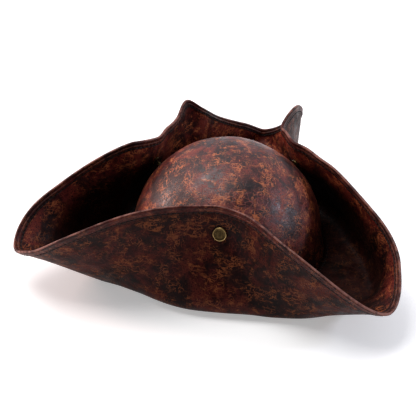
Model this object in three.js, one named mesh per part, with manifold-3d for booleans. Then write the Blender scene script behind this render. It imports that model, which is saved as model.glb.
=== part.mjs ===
// A pirate's three-cornered hat in distressed brown leather.
// A seamless moulded crown stands in a flat brim whose outer part is folded up into three flaps.
// A brass rivet pins each flap to the crown, and a sewn binding covers the edge of the brim.
// Millimetres, +Z up. The origin is the centre of the head opening, on the plane the hat stands on.
// Azimuths are in degrees, from the front (-Y), positive towards the hat's left-hand side (+X).
import * as THREE from 'three';
import { mergeVertices } from 'three/addons/utils/BufferGeometryUtils.js';
import Module from 'manifold-3d';

const wasm = await Module();
wasm.setup();

// ---- driving dimensions ------------------------------------------------------------------------
const GAP = 0.3;                    // clearance between pieces that touch

const CROWN_BASE_R = 97;            // outside radius where the crown meets the brim
const DOME_R = 93.5;                // outside radius of the dome
const DOME_Z = 20;                  // height of the dome's centre above the brim
const CROWN_SEGMENTS = 32;
const WALL_HEIGHTS = [0, 7, 14];    // rings of the crown's wall, below the dome
const DOME_RINGS = 9;
const LINING_BOTTOM = 1;
const SHELL_THICK = 1.8;
const LINING_THICK = 0.8;
const SWEATBAND_THICK = 1.2;
const SWEATBAND_TOP = 32;
const SWEATBAND_SEAM = 4;           // height of the stitches that hold the sweatband

const BRIM_CLEAR = 0.5;
const BRIM_R = CROWN_BASE_R + BRIM_CLEAR;
const BRIM_WIDTH = 125;             // width of the flat brim before it is folded
const BEND_R = 20;                  // mean radius of the fold
const PLY_THICK = 0.8;              // under ply and top ply of leather
const STIFFENER_THICK = 0.6;        // felt between the plies

const BINDING_WIDTH = 8;            // how far the edge binding reaches onto each face
const BINDING_THICK = 0.7;
const THREAD_R = 0.45;
const THREAD_SIDES = 4;
const STITCH_INSET = 6.8;           // from the rim to the binding's stitch line
const CROWN_SEAM_OUT = 2.5;         // from the brim's inner edge to the crown seam

// Each rivet: [name, azimuth, how far it pulls the flap in towards the crown]
const RIVETS = [['front', -5, 0], ['right', -122, 2.5], ['left', 122, 2]];
const RIVET_ALONG = 98;             // distance of the rivets along the brim from its inner edge
const PULL_RADIUS = 26;             // how far round a rivet the leather is drawn in
const FLAP_R = 85;                  // distance of the flaps from the hat's axis at the rivets
const CAP_R = 6.7;
const CAP_HEIGHT = 1.6;
const CAP_LIFT = 1.2;               // the flap is curved, so the flat cap stands clear of it
const SHANK_R = 1.8;
const SHANK_REACH = 21;             // from an unpulled flap's outer face to the end inside the crown
const SHANK_SEGMENTS = 12;
const TURNED_SEGMENTS = 20;
const WASHER_R = 4.6;
const WASHER_THICK = 1.2;
const BACK_CAP_R = 5.2;
const BACK_CAP_THICK = 1.2;

// Near a rivet the rivet pulls the flap in, and above it the flap stands up straight again.
const RECURVE = 18;                 // degrees that the wall eases back by
const RECURVE_SPREAD = 22;          // degrees of azimuth that the pull reaches
const RECURVE_START = 82;           // along the brim
const RECURVE_LENGTH = 32;

// The fold, round the brim: [azimuth, width left flat, angle the rest is folded up by].
// The three corners are where the angle is small or the flat part is wide.
const FOLDS = [
  [-178, 53, 100], [-169, 22, 98], [-160, 6, 92], [-150, 8, 107], [-138, 4, 114],
  [-122, 1, 118], [-104, 1, 105], [-90, 36, 80], [-76, 36, 30], [-66, 32, 36],
  [-56, 16, 51], [-46, 7, 71], [-36, 4, 90], [-20, 2, 111], [-5, 1, 117],
  [10, 7, 109], [20, 18, 83], [42, 45, 28], [56, 54, 62], [72, 32, 98],
  [92, 10, 111], [110, 4, 119], [122, 1, 122], [134, 2, 118], [141, 4, 112],
  [146, 11, 89], [150, 31, 80], [158, 66, 78], [168, 96, 75], [175, 76, 95],
];

// ---- materials ---------------------------------------------------------------------------------
const material = (color, roughness, metalness) =>
  new THREE.MeshStandardMaterial({ color, roughness, metalness });
const LEATHER = material(0x4a241c, 0.55, 0);
const EDGE_LEATHER = material(0x5c332a, 0.5, 0);
const FELT = material(0x2b2422, 0.95, 0);
const CLOTH = material(0x1c1a1a, 0.9, 0);
const THREAD = material(0x1f1412, 0.8, 0);
const BRASS = material(0x8a7f4a, 0.4, 1);

const hat = new THREE.Group();

function addPiece(name, geometry, pieceMaterial) {
  const mesh = new THREE.Mesh(geometry, pieceMaterial);
  mesh.name = name;
  hat.add(mesh);
  return mesh;
}

// ---- the folded brim as a surface --------------------------------------------------------------
const radians = THREE.MathUtils.degToRad;
const smooth = (t) => THREE.MathUtils.smoothstep(t, 0, 1);
const wrap = (degrees) => THREE.MathUtils.euclideanModulo(degrees + 180, 360) - 180;

// Station number k of the fold list, running on past both ends of the list.
function station(k) {
  const count = FOLDS.length;
  const turn = Math.floor(k / count);
  const [azimuth, flat, fold] = FOLDS[k - turn * count];
  return [azimuth + 360 * turn, flat, fold];
}

// Cubic curve through the stations; each slope is that of the chord between its two neighbours.
function foldAt(azimuth) {
  const turned = FOLDS[0][0] + THREE.MathUtils.euclideanModulo(azimuth - FOLDS[0][0], 360);
  let k = 0;
  while (station(k + 1)[0] <= turned) k += 1;
  const [before, from, to, after] = [station(k - 1), station(k), station(k + 1), station(k + 2)];
  const span = to[0] - from[0];
  const t = (turned - from[0]) / span;
  return [1, 2].map((item) => {
    const slopeFrom = (to[item] - before[item]) / (to[0] - before[0]);
    const slopeTo = (after[item] - from[item]) / (after[0] - from[0]);
    const value = (2 * t ** 3 - 3 * t ** 2 + 1) * from[item] + (3 * t ** 2 - 2 * t ** 3) * to[item]
      + (t ** 3 - 2 * t ** 2 + t) * span * slopeFrom + (t ** 3 - t ** 2) * span * slopeTo;
    return Math.max(value, 0);
  });
}

// Slope angle of the brim, in radians, at one azimuth and one distance along it.
function slopeAt(azimuth, along) {
  const [flat, foldDegrees] = foldAt(azimuth);
  const fold = radians(foldDegrees);
  const toRivet = Math.min(...RIVETS.map(([, rivet]) => Math.abs(wrap(azimuth - rivet))));
  const pull = radians(RECURVE) * Math.exp(-((toRivet / RECURVE_SPREAD) ** 2));
  return fold * smooth((along - flat) / (BEND_R * Math.max(fold, 0.2)))
    - pull * smooth((along - RECURVE_START) / RECURVE_LENGTH);
}

// How far the rivets draw the leather in at a place: a bell-shaped hollow round each rivet.
function pullAt(azimuth, along) {
  return RIVETS.reduce((total, [, rivet, pull]) => {
    const across = radians(wrap(azimuth - rivet)) * FLAP_R;
    const distance = Math.hypot(across, along - RIVET_ALONG);
    return total + pull * Math.exp(-((distance / PULL_RADIUS) ** 2));
  }, 0);
}

// The brim's under face: walk out along the leather, turning upwards by the slope angle.
function brimPoint(azimuth, along) {
  const steps = Math.max(1, Math.round(along / 1.5));
  const step = along / steps;
  let radius = BRIM_R;
  let height = 0;
  for (let k = 0; k < steps; k += 1) {
    const slope = slopeAt(azimuth, (k + 0.5) * step);
    radius += step * Math.cos(slope);
    height += step * Math.sin(slope);
  }
  const turn = radians(azimuth);
  return new THREE.Vector3(radius * Math.sin(turn), -radius * Math.cos(turn), height);
}

// Unit normal on the upper side, from small steps round and along the brim.
function brimNormal(azimuth, along) {
  const near = Math.max(along - 0.5, 0);
  const round = brimPoint(azimuth + 0.25, along).sub(brimPoint(azimuth - 0.25, along));
  const out = brimPoint(azimuth, along + 0.5).sub(brimPoint(azimuth, near));
  return out.cross(round).normalize();
}

// ---- the brim as a grid: every layer, the binding and the threads share its columns and rows -----
const COLUMN_SPACING = 7;           // degrees
const MARKS = [...FOLDS.map(([azimuth]) => azimuth), ...RIVETS.flatMap(([, at]) => [at - 5, at + 5])]
  .sort((from, to) => from - to);
const AZIMUTHS = MARKS.flatMap((azimuth, k) => {
  const next = k + 1 < MARKS.length ? MARKS[k + 1] : MARKS[0] + 360;
  const parts = Math.max(1, Math.round((next - azimuth) / COLUMN_SPACING));
  return Array.from({ length: parts }, (_, part) => azimuth + ((next - azimuth) * part) / parts);
});

// Rows lie close together through the bend, wherever it is at this azimuth, and past it up the flap.
const BINDING_START = BRIM_WIDTH - BINDING_WIDTH - 0.5;
const LATEST_BEND = 30;             // a bend near the rim starts at least this far inside the binding
const BEND_SHARES = [0.08, 0.36, 0.64, 0.92];
const WALL_SHARES = [0.33, 0.62, 0.75, 0.87];

function rowsAt(azimuth) {
  const [flat, fold] = foldAt(azimuth);
  const bendStart = Math.min(flat, BINDING_START - LATEST_BEND);
  const bendEnd = Math.min(flat + BEND_R * radians(fold), BINDING_START - 8);
  const bend = BEND_SHARES.map((share) => bendStart + share * (bendEnd - bendStart));
  const wall = WALL_SHARES.map((share) => bendEnd + share * (BINDING_START - bendEnd));
  return [0, ...bend, ...wall, BINDING_START, BRIM_WIDTH];
}

const ROWS = AZIMUTHS.map(rowsAt);

function pulledPoint(azimuth, along) {
  const normal = brimNormal(azimuth, along);
  return [brimPoint(azimuth, along).addScaledVector(normal, pullAt(azimuth, along)), normal];
}

const GRID = AZIMUTHS.map((azimuth, column) =>
  ROWS[column].map((along) => pulledPoint(azimuth, along)));

// A point over the grid's facets, lifted off the under face.
function onBrim(column, along, lift) {
  const rows = ROWS[column];
  let row = 0;
  while (row < rows.length - 2 && rows[row + 1] < along) row += 1;
  const t = (along - rows[row]) / (rows[row + 1] - rows[row]);
  const [from, fromNormal] = GRID[column][row];
  const [to, toNormal] = GRID[column][row + 1];
  const normal = fromNormal.clone().lerp(toNormal, t);
  return from.clone().lerp(to, t).addScaledVector(normal, lift);
}

// A closed ring round the hat; sectionAt(column) is a list of [along, lift]. Every quad is split
// from its inner corner on one column to its outer corner on the next, whichever way the section
// runs there, so that the facets of neighbouring layers stay parallel.
function brimRing(sectionAt) {
  const columns = AZIMUTHS.length;
  const section = sectionAt(0);
  const count = section.length;
  const points = AZIMUTHS.flatMap((_, column) =>
    sectionAt(column).map(([along, lift]) => onBrim(column, along, lift)));
  const at = (column, item) => (column % columns) * count + (item % count);
  const faces = [];
  for (let column = 0; column < columns; column += 1) {
    for (let item = 0; item < count; item += 1) {
      const here = [at(column, item), at(column, item + 1)];
      const next = [at(column + 1, item), at(column + 1, item + 1)];
      const outward = section[(item + 1) % count][0] >= section[item][0];
      faces.push(...(outward
        ? [here[0], here[1], next[1], here[0], next[1], next[0]]
        : [here[0], here[1], next[0], here[1], next[1], next[0]]));
    }
  }
  return new THREE.BufferGeometry().setFromPoints(points).setIndex(faces);
}

function plySection(bottom, thickness) {
  const edge = BRIM_WIDTH - BINDING_THICK - 2 * GAP;
  return (column) => {
    const rows = [...ROWS[column].slice(0, -1), edge];
    const under = rows.map((along) => [along, bottom]);
    const over = rows.map((along) => [along, bottom + thickness]);
    return [...over, ...under.reverse()];
  };
}

const roundSection = (along, lift, radius, sides) => () =>
  Array.from({ length: sides }, (_, k) => {
    const turn = (-2 * Math.PI * k) / sides;
    return [along + radius * Math.cos(turn), lift + radius * Math.sin(turn)];
  });

// ---- cutting -----------------------------------------------------------------------------------
function toSolid(geometry) {
  const bare = geometry.clone();
  bare.deleteAttribute('normal');
  bare.deleteAttribute('uv');
  const merged = mergeVertices(bare, 1e-4);
  return new wasm.Manifold(new wasm.Mesh({
    numProp: 3,
    vertProperties: new Float32Array(merged.attributes.position.array),
    triVerts: new Uint32Array(merged.index.array),
  }));
}

function toGeometry(solid) {
  const mesh = solid.getMesh();
  const geometry = new THREE.BufferGeometry();
  geometry.setAttribute('position', new THREE.BufferAttribute(mesh.vertProperties, 3));
  geometry.setIndex(new THREE.BufferAttribute(mesh.triVerts, 1));
  return geometry;
}

// ---- rivets: place, axis and the holes that they need --------------------------------------------
// The rivet's own +Z is the outward normal of the flap at the rivet.
const RIVET_PLACES = RIVETS.map(([side, azimuth, pull]) => {
  const [point, inward] = pulledPoint(azimuth, RIVET_ALONG);
  const outward = inward.negate();
  const turn = new THREE.Quaternion().setFromUnitVectors(new THREE.Vector3(0, 0, 1), outward);
  const matrix = new THREE.Matrix4().compose(point, turn, new THREE.Vector3(1, 1, 1));
  return { side, matrix, reach: SHANK_REACH - pull };
});

function standing(geometry) {
  return geometry.rotateX(Math.PI / 2);
}

const DRILL_ABOVE = 4;
const DRILL_BELOW = 8;

function rivetHoles(geometry) {
  const radius = SHANK_R + GAP;
  const length = DRILL_ABOVE + SHANK_REACH + DRILL_BELOW;
  const drill = standing(new THREE.CylinderGeometry(radius, radius, length, SHANK_SEGMENTS));
  drill.translate(0, 0, DRILL_ABOVE - length / 2);
  const cut = RIVET_PLACES.reduce(
    (solid, { matrix }) => solid.subtract(toSolid(drill.clone().applyMatrix4(matrix))),
    toSolid(geometry),
  );
  return toGeometry(cut);
}

// ---- the crown ---------------------------------------------------------------------------------
// Radius of the crown's outer face, moved inwards by a depth: a flared wall, then the dome.
function crownRadius(depth, height) {
  if (height > DOME_Z) return Math.sqrt((DOME_R - depth) ** 2 - (height - DOME_Z) ** 2);
  return CROWN_BASE_R - (CROWN_BASE_R - DOME_R) * smooth(height / DOME_Z) - depth;
}

// The same face as points from the base to the top.
function crownOutline(depth, from) {
  const heights = [from, ...WALL_HEIGHTS.filter((height) => height > from), DOME_Z];
  const wall = heights.map((height) => new THREE.Vector2(crownRadius(depth, height), height));
  const radius = DOME_R - depth;
  const dome = Array.from({ length: DOME_RINGS - 1 }, (_, k) => {
    const rise = ((k + 1) / DOME_RINGS) * (Math.PI / 2);
    return new THREE.Vector2(radius * Math.cos(rise), DOME_Z + radius * Math.sin(rise));
  });
  return [...wall, ...dome, new THREE.Vector2(0, DOME_Z + radius)];
}

function domeShell(depth, thickness, from) {
  const outer = crownOutline(depth, from);
  const inner = crownOutline(depth + thickness, from).reverse();
  return standing(new THREE.LatheGeometry([...inner, ...outer], CROWN_SEGMENTS));
}

function band(points, segments) {
  const outline = points.map(([radius, height]) => new THREE.Vector2(radius, height));
  return standing(new THREE.LatheGeometry([...outline, outline[0]], segments));
}

function addCrown() {
  const liningDepth = SHELL_THICK + GAP;
  const bandDepth = liningDepth + LINING_THICK + GAP;
  addPiece('crown_shell', rivetHoles(domeShell(0, SHELL_THICK, 0)), LEATHER);
  const lining = domeShell(liningDepth, LINING_THICK, LINING_BOTTOM);
  addPiece('crown_lining', rivetHoles(lining), CLOTH);

  const outside = [...WALL_HEIGHTS, DOME_Z].map((height) => [crownRadius(bandDepth, height), height]);
  outside.push([crownRadius(bandDepth, SWEATBAND_TOP) - GAP, SWEATBAND_TOP]);
  const inside = outside.map(([radius, height]) => [radius - SWEATBAND_THICK, height]).reverse();
  addPiece('sweatband', band([...outside, ...inside], CROWN_SEGMENTS), EDGE_LEATHER);

  const seamR = crownRadius(bandDepth, 0) - SWEATBAND_THICK - 2 * THREAD_R - GAP;
  const seam = roundSection(seamR, SWEATBAND_SEAM, THREAD_R, THREAD_SIDES)();
  addPiece('sweatband_thread', band(seam.reverse(), CROWN_SEGMENTS), THREAD);
}

// ---- the brim ----------------------------------------------------------------------------------
const STIFFENER_LIFT = PLY_THICK + GAP;
const TOP_PLY_LIFT = STIFFENER_LIFT + STIFFENER_THICK + GAP;
const BRIM_THICK = TOP_PLY_LIFT + PLY_THICK;

function addBrim() {
  addPiece('brim_under_ply', rivetHoles(brimRing(plySection(0, PLY_THICK))), LEATHER);
  addPiece('brim_stiffener', rivetHoles(brimRing(plySection(STIFFENER_LIFT, STIFFENER_THICK))), FELT);
  addPiece('brim_top_ply', rivetHoles(brimRing(plySection(TOP_PLY_LIFT, PLY_THICK))), LEATHER);
}

// The binding is a strip folded over the rim, sewn through on both faces.
function addBinding() {
  const start = BRIM_WIDTH - BINDING_WIDTH;
  const fold = BRIM_WIDTH - BINDING_THICK;
  const low = -GAP;
  const high = BRIM_THICK + GAP;
  const section = [
    [start, low], [fold, low], [fold, high], [start, high], [start, high + BINDING_THICK],
    [fold, high + BINDING_THICK], [BRIM_WIDTH, high], [BRIM_WIDTH, low],
    [fold, low - BINDING_THICK], [start, low - BINDING_THICK],
  ];
  addPiece('edge_binding', brimRing(() => section), EDGE_LEATHER);

  const stitch = BRIM_WIDTH - STITCH_INSET;
  const clear = BINDING_THICK + GAP + THREAD_R;
  const outer = roundSection(stitch, low - clear, THREAD_R, THREAD_SIDES);
  const inner = roundSection(stitch, high + clear, THREAD_R, THREAD_SIDES);
  addPiece('edge_thread_outer', brimRing(outer), THREAD);
  addPiece('edge_thread_inner', brimRing(inner), THREAD);
  const seamLift = BRIM_THICK + GAP + THREAD_R;
  const seam = roundSection(CROWN_SEAM_OUT, seamLift, THREAD_R, THREAD_SIDES);
  addPiece('crown_seam_thread', brimRing(seam), THREAD);
}

// ---- rivet pieces ------------------------------------------------------------------------------
function turned(points) {
  const outline = points.map(([radius, height]) => new THREE.Vector2(radius, height));
  return standing(new THREE.LatheGeometry(outline, TURNED_SEGMENTS));
}

const CAP_BEVEL = 0.5;
const CAP_RIM = 1.6;                // width of the cap's raised rim
const CAP_DISH = 0.4;               // how far the cap's face lies below its rim

function addRivet({ side, matrix, reach }) {
  const place = (mesh) => mesh.applyMatrix4(matrix);
  const top = CAP_LIFT + CAP_HEIGHT;
  const cap = turned([
    [0, CAP_LIFT], [CAP_R, CAP_LIFT], [CAP_R, top - CAP_BEVEL], [CAP_R - CAP_BEVEL, top],
    [CAP_R - CAP_RIM + CAP_BEVEL, top], [CAP_R - CAP_RIM, top - CAP_DISH], [0, top - CAP_DISH],
  ]);
  place(addPiece(`${side}_rivet_cap`, cap, BRASS));

  const shankTop = CAP_LIFT - GAP;
  const shankLength = shankTop + reach - BACK_CAP_THICK;
  const shank = standing(new THREE.CylinderGeometry(SHANK_R, SHANK_R, shankLength, SHANK_SEGMENTS));
  shank.translate(0, 0, shankTop - shankLength / 2);
  place(addPiece(`${side}_rivet_shank`, shank, BRASS));

  const washerTop = -BRIM_THICK - CAP_LIFT;
  const hole = SHANK_R + GAP;
  const washer = band([
    [hole, washerTop], [hole, washerTop - WASHER_THICK],
    [WASHER_R, washerTop - WASHER_THICK], [WASHER_R, washerTop],
  ], TURNED_SEGMENTS);
  place(addPiece(`${side}_rivet_washer`, washer, BRASS));

  const backTop = shankTop - shankLength - GAP;
  const backEnd = backTop - BACK_CAP_THICK;
  const back = turned([[0, backEnd], [BACK_CAP_R, backEnd], [BACK_CAP_R, backTop], [0, backTop]]);
  place(addPiece(`${side}_rivet_back_cap`, back, BRASS));
}

addCrown();
addBrim();
addBinding();
RIVET_PLACES.forEach(addRivet);

export default hat;
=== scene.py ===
# %% [markdown]
# # A pirate's three-cornered hat
# The hat is made of leather, and almost all of it is one big disc: a flat brim, folded up into three
# flaps round a smooth domed crown. A brass rivet holds each flap to the crown, and a narrow strip of
# leather is folded over the rim and sewn down.
#
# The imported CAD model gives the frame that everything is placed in. It has every piece at its real
# size, but in coarse facets. This script makes the fine surfaces that stand for them. Each soft piece
# is a formula on a grid of numbers, so the same few driving sizes shape the plies, the binding and the
# stitches, and they always lie on each other.

# %% Load the frame
import math

import bpy
import numpy as np
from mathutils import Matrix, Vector


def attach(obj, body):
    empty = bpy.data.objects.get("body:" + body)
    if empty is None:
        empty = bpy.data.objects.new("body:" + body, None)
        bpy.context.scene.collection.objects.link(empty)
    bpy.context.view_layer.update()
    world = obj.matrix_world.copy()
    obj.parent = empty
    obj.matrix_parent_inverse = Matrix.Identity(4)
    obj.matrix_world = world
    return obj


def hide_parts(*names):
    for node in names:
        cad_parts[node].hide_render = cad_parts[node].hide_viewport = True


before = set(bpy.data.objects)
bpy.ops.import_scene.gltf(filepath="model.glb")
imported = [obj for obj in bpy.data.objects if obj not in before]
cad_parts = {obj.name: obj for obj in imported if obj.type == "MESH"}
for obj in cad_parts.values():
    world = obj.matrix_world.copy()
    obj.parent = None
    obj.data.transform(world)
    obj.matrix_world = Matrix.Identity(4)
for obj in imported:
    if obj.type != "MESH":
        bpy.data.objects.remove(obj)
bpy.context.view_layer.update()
MM = 0.001

# %% [markdown]
# ## Camera, floor and light
# A long lens a few paces back keeps the near and the far side of the hat in proportion, and it looks
# down at the hat from about a third of a right angle. Two soft lamps at the sides give the crown its
# two dull highlights, and a bright wall behind gives smooth leather a pale haze wherever it is seen at
# a glancing angle.

# %% Camera
CAMERA_DISTANCE = 1500 * MM
CAMERA_ELEVATION = math.radians(33)
VIEW_WIDTH = 416 * MM               # how much of the hat's plane the lens takes in
AIM_RIGHT = -19 * MM                # where the lens points, seen from the middle of the head opening
AIM_UP = 39.5 * MM

toward = Vector((0, -math.cos(CAMERA_ELEVATION), math.sin(CAMERA_ELEVATION)))
upward = Vector((0, math.sin(CAMERA_ELEVATION), math.cos(CAMERA_ELEVATION)))
camera_data = bpy.data.cameras.new("camera")
camera_data.sensor_width = 36
camera_data.lens = camera_data.sensor_width * CAMERA_DISTANCE / VIEW_WIDTH
camera = bpy.data.objects.new("camera", camera_data)
camera.location = Vector((AIM_RIGHT, 0, 0)) + AIM_UP * upward + CAMERA_DISTANCE * toward
camera.rotation_euler = (math.pi / 2 - CAMERA_ELEVATION, 0, 0)
bpy.context.collection.objects.link(camera)
bpy.context.scene.camera = camera
bpy.context.scene.view_settings.view_transform = "Standard"
print("lens, mm:", round(camera_data.lens, 1))


# %% One function for colours and one for nodes
def linear(hex_colour):
    """sRGB hex to linear light: the lowest values divided by 12.92, the rest a 2.4 power curve."""
    channels = [int(hex_colour[k:k + 2], 16) / 255 for k in (1, 3, 5)]
    return [c / 12.92 if c <= 0.04045 else ((c + 0.055) / 1.055) ** 2.4 for c in channels] + [1]


def add_node(tree, kind, inputs=None, **settings):
    """Adds a node, sets its settings, and links or sets each input by its name or number."""
    made = tree.nodes.new(kind)
    for name, value in settings.items():
        setattr(made, name, value)
    for key, value in (inputs or {}).items():
        if isinstance(value, bpy.types.NodeSocket):
            tree.links.new(value, made.inputs[key])
        else:
            made.inputs[key].default_value = value
    return made


def new_material(name):
    """An empty node material with its output, and the tree to fill."""
    material = bpy.data.materials.new(name)
    material.use_nodes = True
    material.node_tree.nodes.clear()
    output = material.node_tree.nodes.new("ShaderNodeOutputMaterial")
    return material, material.node_tree, output


print("mid grey in linear light:", round(linear("#808080")[0], 3))


# %% Floor
FLOOR_HALF = 12.0
FLOOR_DROP = 0.1 * MM               # just under the hat, so that no two faces share a plane
floor_mesh = bpy.data.meshes.new("floor")
corners = FLOOR_HALF * np.array([[-1, -1, 0], [1, -1, 0], [1, 1, 0], [-1, 1, 0]])
floor_mesh.from_pydata(corners.tolist(), [], [(0, 1, 2, 3)])
floor = bpy.data.objects.new("floor", floor_mesh)
floor.location.z = -FLOOR_DROP
bpy.context.collection.objects.link(floor)

paper, tree, output = new_material("translucent white acrylic")
paper_shader = add_node(tree, "ShaderNodeBsdfPrincipled", {"Base Color": linear("#f4f3f2"),
                        "Roughness": 0.8, "Specular IOR Level": 0.1,
                        "Emission Color": linear("#ffffff"), "Emission Strength": 0.38})
tree.links.new(paper_shader.outputs[0], output.inputs[0])
floor_mesh.materials.append(paper)
print("floor, m:", 2 * FLOOR_HALF)

# %% Surroundings
WORLD_FRONT = 0.04                  # light from the camera's side
WORLD_BACK = 0.75                   # light from the white wall behind the hat
WORLD_SPREAD = 0.7                  # how far round the hat the change takes

world = bpy.data.worlds.new("studio with a white back wall")
world.use_nodes = True
way = add_node(world.node_tree, "ShaderNodeTexCoord").outputs["Generated"]
to_back = add_node(world.node_tree, "ShaderNodeSeparateXYZ", {0: way}).outputs["Y"]
wall_light = add_node(world.node_tree, "ShaderNodeMapRange", {"Value": to_back,
                      "From Min": -WORLD_SPREAD, "From Max": WORLD_SPREAD,
                      "To Min": WORLD_FRONT, "To Max": WORLD_BACK},
                      interpolation_type="SMOOTHSTEP").outputs[0]
background = world.node_tree.nodes["Background"]
background.inputs[0].default_value = linear("#f6f6ff")
world.node_tree.links.new(wall_light, background.inputs[1])
bpy.context.scene.world = world
print("light from the front and the back:", WORLD_FRONT, WORLD_BACK)


# %% Lamps
LAMP_AIM = 60 * MM                  # height of the point that the lamps face


def add_lamp(name, direction, distance, size, power, colour="#ffffff"):
    """A square soft lamp in a direction from the hat, turned to face it."""
    data = bpy.data.lights.new(name, "AREA")
    data.size = size
    data.energy = power
    data.color = linear(colour)[:3]
    lamp = bpy.data.objects.new(name, data)
    away = Vector(direction).normalized()
    lamp.location = Vector((0, 0, LAMP_AIM)) + distance * away
    lamp.rotation_euler = away.to_track_quat("Z", "Y").to_euler()
    bpy.context.collection.objects.link(lamp)


add_lamp("right softbox", (0.906, -0.06, 0.42), 1.6, 0.26, 9, "#e4ecff")
add_lamp("left softbox", (-0.88, 0.28, 0.38), 1.6, 0.4, 13, "#ffdad2")
add_lamp("overhead softbox", (-0.35, 0.12, 1.0), 2.4, 1.4, 38)

# %% [markdown]
# ## The fold of the brim
# On the real hat the brim is cut as a flat ring of leather, and the outer part is bent up and drawn
# to the crown in three places. One could sculpt that, or drape a simulated cloth and pin it. A
# formula is chosen here because leather hardly stretches: every straight line from the crown to the rim
# keeps its length. So it is enough to say, for each direction round the hat, how wide a part stays flat
# and through what angle the rest is bent up. The list holds those two values where they change.

# %% Driving sizes, in mm and degrees
CROWN_BASE_R = 97
DOME_R = 93.5
DOME_Z = 20
SHELL_THICK = 1.8
LINING_THICK = 0.8
SWEATBAND_THICK = 1.2
SWEATBAND_TOP = 32
GAP = 0.3

BRIM_R = CROWN_BASE_R + 0.5
BRIM_WIDTH = 125
BEND_R = 20
PLY_THICK = 0.8
STIFFENER_THICK = 0.6
BRIM_THICK = 2 * PLY_THICK + STIFFENER_THICK + 2 * GAP

BINDING_WIDTH = 8
BINDING_THICK = 0.7
STITCH_INSET = 6.8
CROWN_SEAM_OUT = 2.5

RIVETS = {"front": -5, "right": -122, "left": 122}
RIVET_PULL = {"front": 0, "right": 2.5, "left": 2}    # how far each draws the flap in
RIVET_ALONG = 98
PULL_RADIUS = 26
FLAP_R = 85
RECURVE = 18
RECURVE_SPREAD = 22
RECURVE_START = 82
RECURVE_LENGTH = 32

print("brim, mm: flat ring from", BRIM_R, "to", BRIM_R + BRIM_WIDTH, "thick", round(BRIM_THICK, 2))

# %% Where and how far the brim is folded
# [azimuth from the front, width left flat, angle the rest is folded up by]
FOLDS = np.array([
    [-178, 53, 100], [-169, 22, 98], [-160, 6, 92], [-150, 8, 107], [-138, 4, 114],
    [-122, 1, 118], [-104, 1, 105], [-90, 36, 80], [-76, 36, 30], [-66, 32, 36],
    [-56, 16, 51], [-46, 7, 71], [-36, 4, 90], [-20, 2, 111], [-5, 1, 117],
    [10, 7, 109], [20, 18, 83], [42, 45, 28], [56, 54, 62], [72, 32, 98],
    [92, 10, 111], [110, 4, 119], [122, 1, 122], [134, 2, 118], [141, 4, 112],
    [146, 11, 89], [150, 31, 80], [158, 66, 78], [168, 96, 75], [175, 76, 95],
], dtype=float)
print("places where the fold is set:", len(FOLDS))


# %% The fold as a smooth curve round the hat
def smooth(t):
    """0 below 0, 1 above 1, and the curve 3t^2 - 2t^3 between."""
    t = np.clip(t, 0, 1)
    return t * t * (3 - 2 * t)


def fold_at(azimuth):
    """Flat width and fold angle at any azimuth: a cubic between stations, whose slope at a station is
    that of the chord between its two neighbours."""
    turn = np.array([360, 0, 0])
    ring = np.vstack([FOLDS[-1:] - turn, FOLDS, FOLDS[:2] + turn])
    at = ring[:, 0]
    turned = FOLDS[0, 0] + np.mod(azimuth - FOLDS[0, 0], 360)
    k = np.clip(np.searchsorted(at, turned, side="right") - 1, 1, len(at) - 3)
    span = at[k + 1] - at[k]
    t = (turned - at[k]) / span
    result = []
    for column in (1, 2):
        value = ring[:, column]
        slope_from = (value[k + 1] - value[k - 1]) / (at[k + 1] - at[k - 1])
        slope_to = (value[k + 2] - value[k]) / (at[k + 2] - at[k])
        curve = ((2 * t**3 - 3 * t**2 + 1) * value[k] + (3 * t**2 - 2 * t**3) * value[k + 1]
                 + (t**3 - 2 * t**2 + t) * span * slope_from + (t**3 - t**2) * span * slope_to)
        result.append(np.maximum(curve, 0))
    return result


def off_rivet(azimuth):
    """Degrees from the nearest rivet."""
    turns = [np.abs(np.mod(azimuth - at + 180, 360) - 180) for at in RIVETS.values()]
    return np.minimum.reduce(turns)


def slope_at(azimuth, along):
    """Slope of the brim, in radians: it grows from 0 to the fold angle over the bend, and near a rivet
    it eases back again above the rivet, because the flap is pulled in there."""
    flat, fold = fold_at(azimuth)
    fold = np.radians(fold)
    pull = math.radians(RECURVE) * np.exp(-((off_rivet(azimuth) / RECURVE_SPREAD) ** 2))
    bent = fold * smooth((along - flat) / (BEND_R * np.maximum(fold, 0.2)))
    return bent - pull * smooth((along - RECURVE_START) / RECURVE_LENGTH)


print("fold at the front, flat mm and degrees:", [round(float(v[0]), 1) for v in fold_at(np.zeros(1))])

# %% The way out along the brim
WALK_STEP = 0.5


def read_row(table, along):
    """Value of each row of a table at a distance along it, in straight lines between steps."""
    place = np.clip(along / WALK_STEP, 0, table.shape[1] - 1.001)
    low = place.astype(int)
    share = place - low
    before = np.take_along_axis(table, low, axis=1)
    after = np.take_along_axis(table, low + 1, axis=1)
    return before + share * (after - before)


def profile(azimuth, along):
    """Radius and height: the sums of cos(slope) and sin(slope) on the way out from the crown."""
    walk = np.arange(0, BRIM_WIDTH + 2, WALK_STEP)[None, :]
    slope = slope_at(azimuth, walk + WALK_STEP / 2)
    start = np.zeros((slope.shape[0], 1))
    radius = np.hstack([start, np.cumsum(np.cos(slope), axis=1)]) * WALK_STEP + BRIM_R
    height = np.hstack([start, np.cumsum(np.sin(slope), axis=1)]) * WALK_STEP
    inside = np.minimum(along, 0)
    return read_row(radius, along) + inside, read_row(height, along)


reach, rise = profile(np.array([[float(RIVETS["front"])]]), np.array([[float(BRIM_WIDTH)]]))
print("front flap's edge, mm: radius", round(float(reach[0, 0])), "height", round(float(rise[0, 0])))


# %% Points and directions
def stand(azimuth, radius, height):
    """Points from azimuth, radius and height: x = radius sin azimuth, y = -radius cos azimuth."""
    turn = np.radians(azimuth)
    parts = np.broadcast_arrays(radius * np.sin(turn), -radius * np.cos(turn), height)
    return np.stack(parts, axis=-1)


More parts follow.
